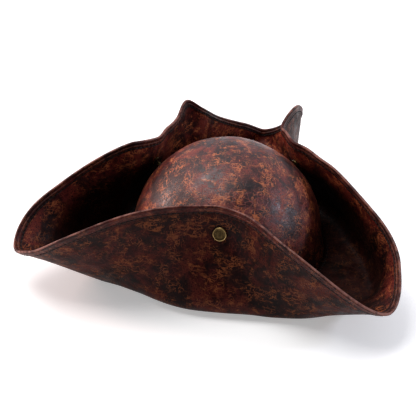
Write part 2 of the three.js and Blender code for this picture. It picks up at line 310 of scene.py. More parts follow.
def unit(vectors):
    """The same directions with length 1."""
    return vectors / np.linalg.norm(vectors, axis=-1, keepdims=True)


def brim_normal(azimuth, along):
    """Unit normal of the upper side: the direction along the brim crossed with that round it."""
    side = 0.25
    around = (stand(azimuth + side, *profile(azimuth + side, along))
              - stand(azimuth - side, *profile(azimuth - side, along)))
    slope = slope_at(azimuth, along)
    outward = stand(azimuth, np.cos(slope), np.sin(slope))
    return unit(np.cross(outward, around))


print("brim's normal by the crown:", brim_normal(np.zeros((1, 1)), np.zeros((1, 1)))[0, 0].round(2))

# %% Unevenness
WANDER_MOST = 0.55                  # where the brim lies on the table it is raised by this, to clear it


def wander(azimuth, along):
    """Slow unevenness of hand-bent leather, in mm: a few sine waves of unrelated lengths."""
    turn = np.radians(azimuth)
    waves = (np.sin(5 * turn + 0.045 * along) + 0.7 * np.sin(9 * turn - 0.07 * along + 1.3)
             + 0.5 * np.sin(16 * turn + 0.11 * along + 4.0))
    return 0.25 * waves * smooth(along / 30)


FAN_FOLDS = 9
FAN_START = 8
FAN_FADE = 22


def rivet_pull(azimuth, along):
    """The hollow round each rivet, as deep as the rivet pulls: a bell curve of the distance from it.
    In it are shallow folds that spread like a fan: a cosine of the angle round the rivet."""
    total = np.zeros(np.broadcast(azimuth, along).shape)
    for side, at in RIVETS.items():
        across = np.radians(np.mod(azimuth - at + 180, 360) - 180) * FLAP_R
        up = along - RIVET_ALONG
        distance = np.hypot(across, up)
        fan = np.cos(FAN_FOLDS * np.arctan2(up, across) + 0.8)
        strength = 0.15 + 0.22 * RIVET_PULL[side]
        ridges = strength * fan * smooth((distance - FAN_START) / 10) * np.exp(-distance / FAN_FADE)
        ridges = ridges * smooth((BRIM_WIDTH - BINDING_WIDTH - along) / 8)
        total = total + RIVET_PULL[side] * np.exp(-((distance / PULL_RADIUS) ** 2)) + ridges
    return total


print("pull at the left rivet, mm:", rivet_pull(RIVETS["left"], RIVET_ALONG).round(2))


# %% The brim as a surface with layers
THIN_FROM = 16                      # how far in from the rim the layers begin to be pressed together
THIN_SHARE = 0.3


def thinned(along, lift):
    """The layers are pressed together towards the rim, where the binding is sewn through them."""
    middle = BRIM_THICK / 2
    return middle + (lift - middle) * (
        1 - THIN_SHARE * smooth((along - BRIM_WIDTH + THIN_FROM) / THIN_FROM))


def on_brim(azimuth, along, lift):
    """Points on the folded brim, lifted off its under face along the normal. All in mm."""
    azimuth, along, lift = np.broadcast_arrays(*np.atleast_2d(azimuth, along, lift))
    azimuth = azimuth[:, :1]
    radius, height = profile(azimuth, along)
    resting = WANDER_MOST * (1 - smooth(height / 3)) * smooth(along / 30)
    raised = thinned(along, lift) + wander(azimuth, along) + rivet_pull(azimuth, along) + resting
    return stand(azimuth, radius, height) + raised[..., None] * brim_normal(azimuth, along)


rim = on_brim(np.arange(0, 360, 1.0)[:, None], BRIM_WIDTH, 0)
print("rim, mm: lowest", round(float(rim[..., 2].min())), "highest", round(float(rim[..., 2].max())))


# %% [markdown]
# ## From a grid of points to a mesh
# Every piece below is a grid: columns round the hat, rows across it. A ring, such as a ply, closes on
# itself both ways, and a dome closes round the hat and ends in a point. The faces are index arithmetic
# on whole arrays. A UV map in centimetres goes with the grid, so that a pattern such as a weave can
# follow the surface.

# %% Mesh builder
def ring_faces(columns, rows, close_rows):
    """Corner numbers of each quad, and the column and row of each corner before wrapping."""
    last = rows if close_rows else rows - 1
    column, row = np.meshgrid(np.arange(columns), np.arange(last), indexing="ij")
    corners = [(column, row), (column + 1, row), (column + 1, row + 1), (column, row + 1)]
    index = [(c % columns) * rows + (r % rows) for c, r in corners]
    grid = [np.stack([c, r], axis=-1) for c, r in corners]
    return np.stack(index, axis=-1).reshape(-1, 4), np.stack(grid, axis=-2).reshape(-1, 2)


def new_piece(name, points, faces, node_names):
    """A smooth mesh object in metres that rides on the hat and stands for its CAD nodes."""
    mesh = bpy.data.meshes.new(name)
    mesh.from_pydata((points.reshape(-1, 3) * MM).tolist(), [], faces)
    mesh.shade_smooth()
    piece = bpy.data.objects.new(name, mesh)
    bpy.context.collection.objects.link(piece)
    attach(piece, "root")
    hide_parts(*node_names)
    return piece


def closed_faces(columns, rows):
    """Quads of a grid that is closed round, then triangles that join its first and its last row to
    one pole each. The two poles are the points that follow the grid."""
    quads, _ = ring_faces(columns, rows, close_rows=False)
    here = np.arange(columns) * rows
    after = np.roll(here, -1)
    first = np.stack([after, here, np.full(columns, columns * rows)], axis=-1)
    last = np.stack([here + rows - 1, after + rows - 1, np.full(columns, columns * rows + 1)], axis=-1)
    return quads.tolist() + first.tolist() + last.tolist()


print("quads of a small closed ring:", len(ring_faces(4, 3, close_rows=True)[0]))


# %% Rings and bowls
def ring_piece(name, points, node_names, across, from_rim=None):
    """A band closed both ways. points[column, row]; across is each row's UV, in mm."""
    columns, rows = points.shape[:2]
    faces, grid = ring_faces(columns, rows, close_rows=True)
    piece = new_piece(name, points, faces.tolist(), node_names)
    around = np.linalg.norm(np.diff(points, axis=0, append=points[:1]), axis=-1).mean(axis=1)
    length = np.concatenate([[0], np.cumsum(around)])
    uv = np.stack([length[grid[:, 0]], np.append(across, across[0])[grid[:, 1]]], axis=-1) / 10
    piece.data.uv_layers.new(name="UVMap").data.foreach_set("uv", uv.ravel())
    if from_rim is not None:
        wear = piece.data.attributes.new("from_rim", "FLOAT", "POINT")
        wear.data.foreach_set("value", np.broadcast_to(from_rim, (columns, rows)).ravel())
    return piece


def bowl_piece(name, radius, height, columns, slot, node_names, uneven=None):
    """A thick dome: a profile from the inner pole down to the edge and up to the outer pole, turned
    round the hat's axis. The two poles are one point each, joined by triangles."""
    azimuth = np.arange(columns)[:, None] * 360 / columns
    ring = stand(azimuth, radius[None, 1:-1], height[None, 1:-1])
    if uneven is not None:
        ring = ring + uneven(azimuth, ring)
    poles = np.array([[0, 0, height[0]], [0, 0, height[-1]]])
    points = np.vstack([ring.reshape(-1, 3), poles])
    return new_piece(name, points, closed_faces(columns, ring.shape[1]), node_names)


print("azimuths go round from the front, -Y, towards +X")


# %% [markdown]
# ## The brim's three layers
# The under ply is the leather that shows on the outside of the flaps, and the top ply is the leather
# inside the corners. The felt between them is what makes the flaps stand up. Each is the same folded
# surface at a different height, with its own upper and lower face joined at the edges.

# %% Plies
COLUMNS = 540
azimuths = (np.arange(COLUMNS) * 360 / COLUMNS)[:, None]
PLY_EDGE = BRIM_WIDTH - BINDING_THICK - 2 * GAP
PLY_START = -0.6                    # the plies meet the crown's wall, as the sewn pieces do


def brim_layer(name, bottom, thickness, rows, node_name):
    """A ply: rows out over its upper face, then back under its lower face."""
    out = np.linspace(PLY_START, PLY_EDGE, rows)
    along = np.concatenate([out, out[::-1]])
    lift = np.concatenate([np.full(rows, bottom + thickness), np.full(rows, bottom)])
    points = on_brim(azimuths, along[None, :], lift[None, :])[:, ::-1]
    across = np.concatenate([out, 2 * PLY_EDGE - out[::-1]])[::-1]
    return ring_piece(name, points, [node_name], across, (BRIM_WIDTH - along)[::-1])


stiffener_lift = PLY_THICK + GAP
top_lift = stiffener_lift + STIFFENER_THICK + GAP
under_ply = brim_layer("under_ply_leather", 0, PLY_THICK, 72, "brim_under_ply")
stiffener = brim_layer("stiffener_felt", stiffener_lift, STIFFENER_THICK, 30,
                       "brim_stiffener")
top_ply = brim_layer("top_ply_leather", top_lift, PLY_THICK, 72, "brim_top_ply")
print("under ply faces:", len(under_ply.data.polygons))

# %% Less painted shade at the back
BACK_FROM, BACK_BLEND = 128, 24     # azimuths over which less shade is painted than at the sides
BACK_LESS_PAINTED_SHADE = 0.6
# The top ply's distance from the rim is scaled down at the back, so that its painted fold shade begins
# farther in there than in the side corners.
painted_shade_scale = 1 - BACK_LESS_PAINTED_SHADE * smooth((np.abs(np.mod(azimuths + 180, 360) - 180) - BACK_FROM) / BACK_BLEND)
wear = top_ply.data.attributes["from_rim"]
distance = np.empty(len(top_ply.data.vertices))
wear.data.foreach_get("value", distance)
wear.data.foreach_set("value", (distance.reshape(COLUMNS, -1) * painted_shade_scale).ravel())
print("top ply's grime depends on a distance of up to", round(float(distance.max())), "mm")

# %% [markdown]
# ## The edge binding and its stitches
# A binding is a strip folded over the raw edge and sewn through both faces. The needle pulls the
# leather down at every hole, so the strip puckers: it is low along the stitch line and plump between
# the line and the rim. The pucker and the thread must agree, so both count stitches along the rim.

# %% Stitch count along the rim
STITCH_PITCH = 4.8
fine = np.linspace(0, 360, 2881)
stitch_path = on_brim(fine[:, None], BRIM_WIDTH - STITCH_INSET, 0)[:, 0]
stitch_length = np.concatenate([[0], np.cumsum(np.linalg.norm(np.diff(stitch_path, axis=0), axis=1))])
STITCHES = round(stitch_length[-1] / STITCH_PITCH)
print("rim stitches:", STITCHES, "over", round(stitch_length[-1]), "mm")


def stitch_count(azimuth):
    """How many stitches lie between azimuth 0 and this one."""
    return np.interp(np.mod(azimuth, 360), fine, stitch_length) * STITCHES / stitch_length[-1]


# %% Binding section
FACE_ROWS = 22
RIM_ROWS = 11
RIM_ROUND = 1.7                     # how far in from the rim the strip begins to turn over
FOLD_GAP = 1.0                      # from the rim to the inside of the folded strip


def binding_section():
    """(along, lift, side) round the strip: over the lower face, round the rim in half an ellipse, back
    over the upper face, and along the inside. side is +1 on the upper face and -1 on the lower."""
    start, round_start = BRIM_WIDTH - BINDING_WIDTH, BRIM_WIDTH - RIM_ROUND
    low, high = -GAP - BINDING_THICK, BRIM_THICK + GAP + BINDING_THICK
    out = np.linspace(start, round_start, FACE_ROWS)
    turn = np.linspace(-math.pi / 2, math.pi / 2, RIM_ROWS)[1:-1]
    arc_along = round_start + RIM_ROUND * np.cos(turn)
    arc_lift = (high + low) / 2 + (high - low) / 2 * np.sin(turn)
    inner = BRIM_WIDTH - FOLD_GAP
    inside = np.array([[start, high - BINDING_THICK], [inner, high - BINDING_THICK],
                       [inner, low + BINDING_THICK], [start, low + BINDING_THICK]])
    face = np.ones(FACE_ROWS)
    along = np.concatenate([out, arc_along, out[::-1], inside[:, 0]])
    lift = np.concatenate([low * face, arc_lift, high * face, inside[:, 1]])
    side = np.concatenate([-face, np.sin(turn), face, np.zeros(len(inside))])
    return along, lift, side


SWELL_INSET = 5.2
CREASE_INSET = 3.4


def pucker(azimuth, along):
    """Height of the strip's face, in mm: a groove along the stitch line, deepest at the needle holes,
    a slight swelling outside it, and one shallow crease where the strip was pressed flat."""
    hole = 0.5 + 0.5 * np.cos(2 * math.pi * stitch_count(azimuth))
    inset = BRIM_WIDTH - along
    groove = -(0.4 + 0.45 * hole) * np.exp(-(((inset - STITCH_INSET) / 0.9) ** 2))
    swell = 0.5 * (0.8 - 0.6 * hole) * np.exp(-(((inset - SWELL_INSET) / 1.2) ** 2))
    crease = -0.4 * np.exp(-(((inset - CREASE_INSET) / 0.55) ** 2))
    return groove + swell + crease


print("points round the binding's section:", len(binding_section()[0]))

# %% The binding on the rim
BINDING_COLUMNS = 1440
binding_azimuths = (np.arange(BINDING_COLUMNS) * 360 / BINDING_COLUMNS)[:, None]
along, lift, side = binding_section()
lifted = lift[None, :] + side[None, :] * pucker(binding_azimuths, along[None, :])
points = on_brim(binding_azimuths, along[None, :], lifted)
binding = ring_piece("edge_binding_leather", points, ["edge_binding"],
                     np.linspace(0, 2 * BINDING_WIDTH, len(along)), BRIM_WIDTH - along)
print("binding faces:", len(binding.data.polygons))


# %% One stitch and a line of stitches
THREAD_R = 0.45


def stitch_piece(name, azimuth, along, lift, length, radius, node_names, side):
    """Many short stitches: each a spindle of five hexagons between two points, bent so that its ends
    go down into the leather. side is +1 on the upper face and -1 on the lower."""
    centre = on_brim(azimuth[:, None], along, lift)[:, 0]
    step = 0.02
    ahead = on_brim(azimuth[:, None] + step, along, lift)[:, 0]
    forward = unit(ahead - centre)
    upward = unit(brim_normal(azimuth[:, None], np.full((len(azimuth), 1), along))[:, 0]) * side
    across = np.cross(forward, upward)
    return spindles(name, centre, forward, across, upward, length, radius, node_names)


def spindles(name, centre, forward, across, upward, length, radius, node_names):
    """Builds the stitches from their centres and directions, as one piece."""
    place = np.array([-0.98, -0.75, 0, 0.75, 0.98]) * length / 2
    girth = radius * np.array([0.5, 0.9, 1.0, 0.9, 0.5])
    dip = -1.3 * radius * (np.abs(place) / (length / 2)) ** 3
    turn = np.arange(6) * math.pi / 3
    rings = (centre[:, None, None] + place[None, :, None, None] * forward[:, None, None]
             + (girth[:, None] * np.cos(turn))[None, :, :, None] * across[:, None, None]
             + (girth[:, None] * np.sin(turn) + dip[:, None])[None, :, :, None] * upward[:, None, None])
    ends = np.stack([centre - (length / 2) * forward - 1.6 * radius * upward,
                     centre + (length / 2) * forward - 1.6 * radius * upward], axis=1)
    count = len(centre)
    points = np.concatenate([rings.reshape(count, 30, 3), ends], axis=1)
    ring, corner = np.meshgrid(np.arange(4), np.arange(6), indexing="ij")
    after = (corner + 1) % 6
    quads = np.stack([ring * 6 + corner, ring * 6 + after, ring * 6 + 6 + after,
                      ring * 6 + 6 + corner], axis=-1).reshape(-1, 4)
    k = np.arange(6)
    first = np.stack([(k + 1) % 6, k, np.full(6, 30)], axis=-1)
    last = np.stack([24 + k, 24 + (k + 1) % 6, np.full(6, 31)], axis=-1)
    offset = 32 * np.arange(count)[:, None, None]
    faces = (quads + offset).reshape(-1, 4).tolist()
    faces += (np.vstack([first, last]) + offset).reshape(-1, 3).tolist()
    return new_piece(name, points, faces, node_names)


print("faces in one stitch:", 4 * 6 + 2 * 6)

# %% Rim and crown seam stitches
SEAT = 0.2                          # how deep the thread is pressed into the leather
stitch_azimuth = np.interp((np.arange(STITCHES) + 0.5) / STITCHES * stitch_length[-1],
                           stitch_length, fine)
STITCH_LONG = 0.86 * STITCH_PITCH
outer_thread = stitch_piece("outer_rim_stitches", stitch_azimuth, BRIM_WIDTH - STITCH_INSET,
                            -GAP - BINDING_THICK + SEAT, STITCH_LONG, THREAD_R,
                            ["edge_thread_outer"], -1)
inner_thread = stitch_piece("inner_rim_stitches", stitch_azimuth, BRIM_WIDTH - STITCH_INSET,
                            BRIM_THICK + GAP + BINDING_THICK - SEAT, STITCH_LONG, THREAD_R,
                            ["edge_thread_inner"], 1)
seam_azimuth = np.arange(0, 360, 360 / round(2 * math.pi * (BRIM_R + CROWN_SEAM_OUT) / STITCH_PITCH))
seam_thread = stitch_piece("crown_seam_stitches", seam_azimuth, CROWN_SEAM_OUT, BRIM_THICK + SEAT,
                           STITCH_LONG, THREAD_R, ["crown_seam_thread"], 1)
print("stitches made:", 2 * STITCHES + len(seam_azimuth))

# %% [markdown]
# ## The crown, its lining and the sweatband
# The crown is leather pressed over a hat block, so it has no seam: a short, slightly flared wall and
# half a sphere. A turned profile gives that at once. Real pressed leather isn't a perfect sphere, so a
# few slow waves move the surface by half a millimetre.


# %% Crown
def crown_profile(depth, bottom, rows):
    """Radius and height of the crown's outer face moved in by a depth: a flared wall, then a quarter
    circle."""
    wall = np.linspace(bottom, DOME_Z, rows // 4)[:-1]
    flare = CROWN_BASE_R - (CROWN_BASE_R - DOME_R) * smooth(wall / DOME_Z) - depth
    rise = np.linspace(0, math.pi / 2, rows - len(wall))
    radius = np.concatenate([flare, (DOME_R - depth) * np.cos(rise)])
    height = np.concatenate([wall, DOME_Z + (DOME_R - depth) * np.sin(rise)])
    radius[-1] = 0
    return radius, height


def shell_profile(depth, thickness, bottom, rows):
    """The inner face from its pole down, then the outer face up to its pole."""
    inner_radius, inner_height = crown_profile(depth + thickness, bottom, rows)
    outer_radius, outer_height = crown_profile(depth, bottom, rows)
    return (np.concatenate([inner_radius[::-1], outer_radius]),
            np.concatenate([inner_height[::-1], outer_height]))


def crown_waves(azimuth, points):
    """Half a millimetre of slow unevenness, outwards, fading to none at the base."""
    turn = np.radians(azimuth)
    high = points[..., 2] / (DOME_R + DOME_Z)
    wave = (np.sin(3 * turn + 5 * high) + 0.6 * np.sin(7 * turn - 9 * high + 2)) * 0.3
    amount = wave * smooth(high * 4) * smooth((1 - high) * 6)
    return unit(points - np.array([0, 0, DOME_Z])) * amount[..., None]


crown = bowl_piece("crown_leather", *shell_profile(0, SHELL_THICK, 0, 80), 320, "brown_leather",
                   ["crown_shell"], crown_waves)
lining_depth = SHELL_THICK + GAP
lining = bowl_piece("lining_cloth", *shell_profile(lining_depth, LINING_THICK, 1, 60), 240,
                    "lining_cloth", ["crown_lining"], crown_waves)
print("crown faces:", len(crown.data.polygons))


# %% Sweatband
def sweatband_grid(columns, rows):
    """A strip just inside the lining: its outer face going up, a rounded top edge, and its inner face
    going down, with a slow wave along the free top edge."""
    depth = lining_depth + LINING_THICK + GAP
    azimuth = np.arange(columns)[:, None] * 360 / columns
    rise = np.linspace(0, SWEATBAND_TOP - 0.6, rows)
    flare = CROWN_BASE_R - (CROWN_BASE_R - DOME_R) * smooth(rise / DOME_Z) - depth
    dome = np.sqrt((DOME_R - depth) ** 2 - np.maximum(rise - DOME_Z, 0) ** 2) - (DOME_R - depth)
    outer = flare + dome
    turn = np.linspace(0, math.pi, 7)[1:-1]
    top_radius = outer[-1] - 0.6 + 0.6 * np.cos(turn)
    top_height = rise[-1] + 0.6 * np.sin(turn)
    radius = np.concatenate([outer, top_radius, (outer - SWEATBAND_THICK)[::-1]])
    height = np.concatenate([rise, top_height, rise[::-1]])
    wave = 0.5 * smooth((height - 12) / 20) * (1 + np.sin(11 * np.radians(azimuth) + 0.6))
    across = np.concatenate([rise, top_height, 2 * SWEATBAND_TOP - rise[::-1]])
    return stand(azimuth, radius - wave, height), across


band_points, band_across = sweatband_grid(300, 24)
sweatband = ring_piece("sweatband_leather", band_points, ["sweatband"], band_across)
print("sweatband faces:", len(sweatband.data.polygons))

# %% Sweatband stitches
band_depth = lining_depth + LINING_THICK + GAP + SWEATBAND_THICK
seam_height = 4.0
seam_radius = CROWN_BASE_R - (CROWN_BASE_R - DOME_R) * smooth(seam_height / DOME_Z) - band_depth
seam_turns = np.arange(0, 360, 360 / round(2 * math.pi * seam_radius / STITCH_PITCH))
seam_centre = stand(seam_turns, seam_radius - 0.15, np.full(len(seam_turns), seam_height))
seam_forward = stand(seam_turns + 90, np.ones(len(seam_turns)), np.zeros(len(seam_turns)))
seam_inward = -stand(seam_turns, np.ones(len(seam_turns)), np.zeros(len(seam_turns)))
band_thread = spindles("sweatband_stitches", seam_centre, seam_forward,
                       np.cross(seam_forward, seam_inward), seam_inward, STITCH_LONG, THREAD_R,
                       ["sweatband_thread"])
print("sweatband stitches:", len(seam_turns))

# %% [markdown]
# ## The rivets
# A rivet is a brass cap with a rolled rim and a slightly dished face, a shank that goes through the
# flap and the crown, a washer under the flap and a plain cap inside the crown. Each is a turned shape,
# placed with its axis square to the flap.

# %% Rivet sizes, in mm
CAP_R = 6.7
CAP_HEIGHT = 1.6
CAP_LIFT = 1.2
SHANK_R = 1.8
SHANK_REACH = 21
WASHER_R = 4.6
WASHER_THICK = 1.2
BACK_CAP_R = 5.2
BACK_CAP_THICK = 1.2
RIDGE_INSET = 0.5                   # the ridge round a cap that is rubbed bright
RIDGE_WIDTH = 0.35
print("rivet cap, mm across:", 2 * CAP_R)


# %% Turned pieces
def turned_piece(name, outline, place, node_names, segments=72):
    """A profile of (radius, height) turned about the rivet's axis. It starts and ends on the axis."""
    outline = np.array(outline)
    origin, outward = place
    side = unit(np.cross(outward, [0.0, 0.0, 1.0]))
    ahead = np.cross(outward, side)
    turn = np.arange(segments)[:, None] * 2 * math.pi / segments
    radius, height = outline[None, 1:-1, 0], outline[None, 1:-1, 1]
    ring = (origin + (radius * np.cos(turn))[..., None] * side
            + (radius * np.sin(turn))[..., None] * ahead + height[..., None] * outward)
    poles = origin + outline[[0, -1], 1][:, None] * outward
    faces = closed_faces(segments, ring.shape[1])
    piece = new_piece(name, np.vstack([ring.reshape(-1, 3), poles]), faces, node_names)
    from_ridge = outline[1:-1, 0] - (CAP_R - RIDGE_INSET)
    raised = np.exp(-((from_ridge / RIDGE_WIDTH) ** 2)) * (outline[1:-1, 1] > 0)
    wear = piece.data.attributes.new("rubbed", "FLOAT", "POINT")
    wear.data.foreach_set("value", np.append(np.tile(raised, segments), [0, 0]))
    return piece


def rounded(points, radius, steps=4):
    """An outline whose inner corners are cut by short arcs: each corner becomes a few points on a
    curve between the two points that lie one radius before and after it."""
    points = np.array(points, dtype=float)
    result = [points[0]]
    for before, corner, after in zip(points, points[1:], points[2:]):
        back, forth = before - corner, after - corner
        reach = min(radius, np.linalg.norm(back) / 2.2, np.linalg.norm(forth) / 2.2)
        start, end = corner + unit(back) * reach, corner + unit(forth) * reach
        for t in np.linspace(0, 1, steps):
            result.append((1 - t) ** 2 * start + 2 * t * (1 - t) * corner + t**2 * end)
    return np.array(result + [points[-1]])


print("points on a rounded square corner:", len(rounded([[0, 0], [1, 0], [1, 1]], 0.5)))


# %% Three rivets
def rivet_place(side):
    """The point on the flap's outer face, and the direction square to it, outwards."""
    at, along = np.array([[float(RIVETS[side])]]), np.array([[float(RIVET_ALONG)]])
    inward = brim_normal(at, along)[0, 0]
    return stand(at, *profile(at, along))[0, 0] + RIVET_PULL[side] * inward, -inward


def add_rivet(side):
    """The four pieces of one rivet, as turned outlines along its axis."""
    place = rivet_place(side)
    reach = SHANK_REACH - RIVET_PULL[side]
    face = CAP_LIFT + CAP_HEIGHT
    cap = rounded([[0, 0.3], [CAP_R - 0.4, 0.3], [CAP_R, face - 0.6], [CAP_R - 0.7, face],
                   [CAP_R - 1.5, face - 0.45], [CAP_R - 3.2, face - 0.55], [0, face - 0.25]], 0.5)
    shank_end = BACK_CAP_THICK - reach + 0.2
    shank = [[0, shank_end], [SHANK_R, shank_end], [SHANK_R, 0.4], [0, 0.4]]
    washer_top = -BRIM_THICK - 0.1
    washer_low = -BRIM_THICK - CAP_LIFT - WASHER_THICK
    washer = rounded([[0, washer_low], [SHANK_R + 0.6, washer_low], [WASHER_R, washer_low + 0.7],
                      [WASHER_R, washer_top], [0, washer_top]], 0.3)
    back_low = -reach
    back = rounded([[0, back_low - 0.3], [BACK_CAP_R - 1, back_low], [BACK_CAP_R, back_low + 0.6],
                    [BACK_CAP_R, back_low + BACK_CAP_THICK], [0, back_low + BACK_CAP_THICK]], 0.4)
    made = []
    for part, outline in (("cap", cap), ("shank", shank), ("washer", washer), ("back_cap", back)):
        made.append(turned_piece(f"{side}_{part}_brass", outline, place,
                                 [f"{side}_rivet_{part}"]))
    return made


rivets = [piece for side in RIVETS for piece in add_rivet(side)]
print("rivet pieces:", len(rivets))

# %% [markdown]
# ## Distressed leather
# The real material is imitation leather: a polyurethane skin on cloth, printed dark red-brown, then
# rubbed and crumpled so that a rust-coloured layer shows through as fine cracks and scuffs. What the
# eye sees is three sizes of pattern on one colour: broad blue-black clouds, a mottle of brown and
# rust, and a net of hairline cracks, with a soft satin gloss over all of it.

# %% Leather colours
COLOUR_DEEP = "#290b0c"
COLOUR_BROWN = "#5b201e"
COLOUR_CLOUD = "#151011"
COLOUR_RUST = "#7e3326"
COLOUR_SCUFF = "#b2623a"
COLOUR_WORN = "#8f6257"
# Painted shade: the darkest colour, used for the deep folds and for lines along the binding.
COLOUR_PAINTED_SHADE = "#0a0504"
WHOLE_MM = (1000, 1000, 1000)       # Object coordinates are metres, and the patterns are sized in mm
print("leather ground in linear light:", [round(c, 3) for c in linear(COLOUR_BROWN)[:3]])


# %% Patches and bent places
def patches(tree, place, size, detail, rough, low, high, floor=0.0, top=1.0):
    """Irregular patches about size mm across: noise, stretched so that it runs smoothly from floor to
    top between two of its values."""
    noise = add_node(tree, "ShaderNodeTexNoise", {"Vector": place, "Scale": 1 / size,
                     "Detail": detail, "Roughness": rough, "Distortion": 0.6}).outputs[0]
    return add_node(tree, "ShaderNodeMapRange", {"Value": noise, "From Min": low, "From Max": high,
                    "To Min": floor, "To Max": top}, interpolation_type="SMOOTHSTEP").outputs[0]


def warped(tree, place, size, amount):
    """Places moved up to about amount mm by a slow noise, so that a pattern on them bends."""
    noise = add_node(tree, "ShaderNodeTexNoise", {"Vector": place, "Scale": 1 / size, "Detail": 3})
    push = add_node(tree, "ShaderNodeVectorMath", {0: noise.outputs[1], 1: (0.5, 0.5, 0.5)},
                    operation="SUBTRACT").outputs[0]
    return add_node(tree, "ShaderNodeVectorMath", {0: push, 1: (amount, amount, amount), 2: place},
                    operation="MULTIPLY_ADD").outputs[0]


print("patterns: patches, warped")


# %% Lines and nets
def stripe(tree, value, middle, inner, outer, strength=1.0):
    """strength where a value is within inner of its middle, fading to 0 at outer."""
    gap = add_node(tree, "ShaderNodeMath", {0: value, 1: middle}, operation="SUBTRACT").outputs[0]
    size = add_node(tree, "ShaderNodeMath", {0: gap}, operation="ABSOLUTE").outputs[0]
    return add_node(tree, "ShaderNodeMapRange", {"Value": size, "From Min": inner, "From Max": outer,
                    "To Min": strength, "To Max": 0}, interpolation_type="SMOOTHSTEP").outputs[0]


def net(tree, place, size, width, area):
    """Lines of a width where cells of a size meet, in mm, and only inside an area."""
    gap = add_node(tree, "ShaderNodeTexVoronoi", {"Vector": place, "Scale": 1 / size},
                   feature="DISTANCE_TO_EDGE").outputs["Distance"]
    line = add_node(tree, "ShaderNodeMapRange", {"Value": gap, "From Min": 0.25 * width / size,
                    "From Max": 0.75 * width / size, "To Min": 1, "To Max": 0},
                    interpolation_type="SMOOTHSTEP").outputs[0]
    return add_node(tree, "ShaderNodeMath", {0: line, 1: area}, operation="MULTIPLY").outputs[0]


def scratch(tree, place, size, width, stretch, turn):
    """Long curved hairlines: where a stretched noise crosses its middle value."""
    turned = add_node(tree, "ShaderNodeMapping", {"Vector": place, "Rotation": turn,
                                                  "Scale": stretch}).outputs[0]
    noise = add_node(tree, "ShaderNodeTexNoise", {"Vector": turned, "Scale": 1 / size, "Detail": 2})
    return stripe(tree, noise.outputs[0], 0.5, 0.25 * width / size, 0.6 * width / size)


print("patterns: stripe, net, scratch")


# %% Rust net and hairlines
# [size and width in mm, stretch and turn of the noise]
HAIRS = [[6, 0.2, (0.28, 1, 1), (0.2, 0.4, 0.2)], [5, 0.16, (1, 0.3, 0.7), (0.9, 0.1, 0.7)],
         [8, 0.2, (0.6, 0.25, 1), (0.3, 0.9, 0.1)], [9, 0.18, (0.2, 0.8, 0.6), (1.2, 0.6, 0.4)]]


def rust_net(tree, mm, bent, scuff):
    """Where the rust-coloured layer shows: the strongest of a fine net, a wide net and a speckle."""
    crumpled = warped(tree, mm, 2.0, 1.6)
    area = patches(tree, mm, 26, 5, 0.62, 0.40, 0.60)
    small_area = patches(tree, mm, 8, 4, 0.6, 0.38, 0.60)
    result = patches(tree, mm, 1.1, 4, 0.65, 0.5, 0.66, top=0.5)
    for limit in (area, small_area):
        result = add_node(tree, "ShaderNodeMath", {0: result, 1: limit},
                          operation="MULTIPLY").outputs[0]
    for mask in (net(tree, crumpled, 2.1, 0.7, area), net(tree, bent, 4.6, 0.45, small_area)):
        result = add_node(tree, "ShaderNodeMath", {0: result, 1: mask},
                          operation="MAXIMUM").outputs[0]
    return add_node(tree, "ShaderNodeMath", {0: result, 1: 0.85 * scuff},
                    operation="MULTIPLY").outputs[0]


def hairlines(tree, mm, bent, scuff):
    """The strongest of several sets of hairlines, inside patches."""
    result = 0.0
    for hair in HAIRS:
        result = add_node(tree, "ShaderNodeMath", {0: scratch(tree, bent, *hair), 1: result},
                          operation="MAXIMUM").outputs[0]
    area = patches(tree, mm, 14, 5, 0.65, 0.44, 0.60, top=0.9 * scuff)
    return add_node(tree, "ShaderNodeMath", {0: result, 1: area}, operation="MULTIPLY").outputs[0]


print("sets of hairlines:", len(HAIRS))

# %% Wear, and painted shade, by distance from the rim
RAGGED = 30                         # how far, in mm, the painted shade's edge wanders
DEEPEST = 0.88                      # how much of the colour the painted shade covers
PRESSED_INSET = 3.9                 # the pressed line on the binding, from the rim


def painted_fold_shade(tree, mm, rim, near, far):
    """Painted shade in the fold, beginning near mm from the rim and full at far mm, with a ragged edge.
    """
    ragged = add_node(tree, "ShaderNodeTexNoise", {"Vector": mm, "Scale": 1 / 18, "Detail": 5,
                                                   "Roughness": 0.6}).outputs[0]
    inward = add_node(tree, "ShaderNodeMath", {0: ragged, 1: RAGGED, 2: rim},
                      operation="MULTIPLY_ADD").outputs[0]
    return add_node(tree, "ShaderNodeMapRange", {"Value": inward, "To Max": DEEPEST,
                    "From Min": near + RAGGED / 2, "From Max": far + RAGGED / 2},
                    interpolation_type="SMOOTHSTEP").outputs[0]


def bare_edge(tree, mm, rim, worn):
    """Where the rim and the pressed line are rubbed pale, broken up by patches."""
    edge = stripe(tree, rim, 0, 0.1, 0.75, worn)
    pressed = stripe(tree, rim, PRESSED_INSET, 0.1, 0.6, 0.45 * worn)
    line = add_node(tree, "ShaderNodeMath", {0: edge, 1: pressed}, operation="MAXIMUM").outputs[0]
    broken = patches(tree, mm, 14, 6, 0.7, 0.38, 0.6, floor=0.1)
    return add_node(tree, "ShaderNodeMath", {0: line, 1: broken}, operation="MULTIPLY").outputs[0]


print("pressed line, mm from the rim:", PRESSED_INSET)


# %% Relief
def leather_bump(tree, mm, rubbed):
    """Fine grain and shallow creases, with the rubbed net standing proud."""
    grain = add_node(tree, "ShaderNodeTexNoise", {"Vector": mm, "Scale": 1 / 0.9, "Detail": 3,
                                                  "Roughness": 0.6}).outputs[0]
    creases = add_node(tree, "ShaderNodeTexNoise", {"Vector": mm, "Scale": 1 / 7, "Detail": 4,
                                                    "Roughness": 0.6}).outputs[0]
    relief = rubbed
    for height, share in ((grain, 0.5), (creases, 1.2)):
        relief = add_node(tree, "ShaderNodeMath", {0: height, 1: share, 2: relief},
                          operation="MULTIPLY_ADD").outputs[0]
    return add_node(tree, "ShaderNodeBump", {"Strength": 0.4, "Distance": 0.3 * MM,
                                             "Height": relief}).outputs[0]


print("grain 0.9 mm, creases 7 mm")


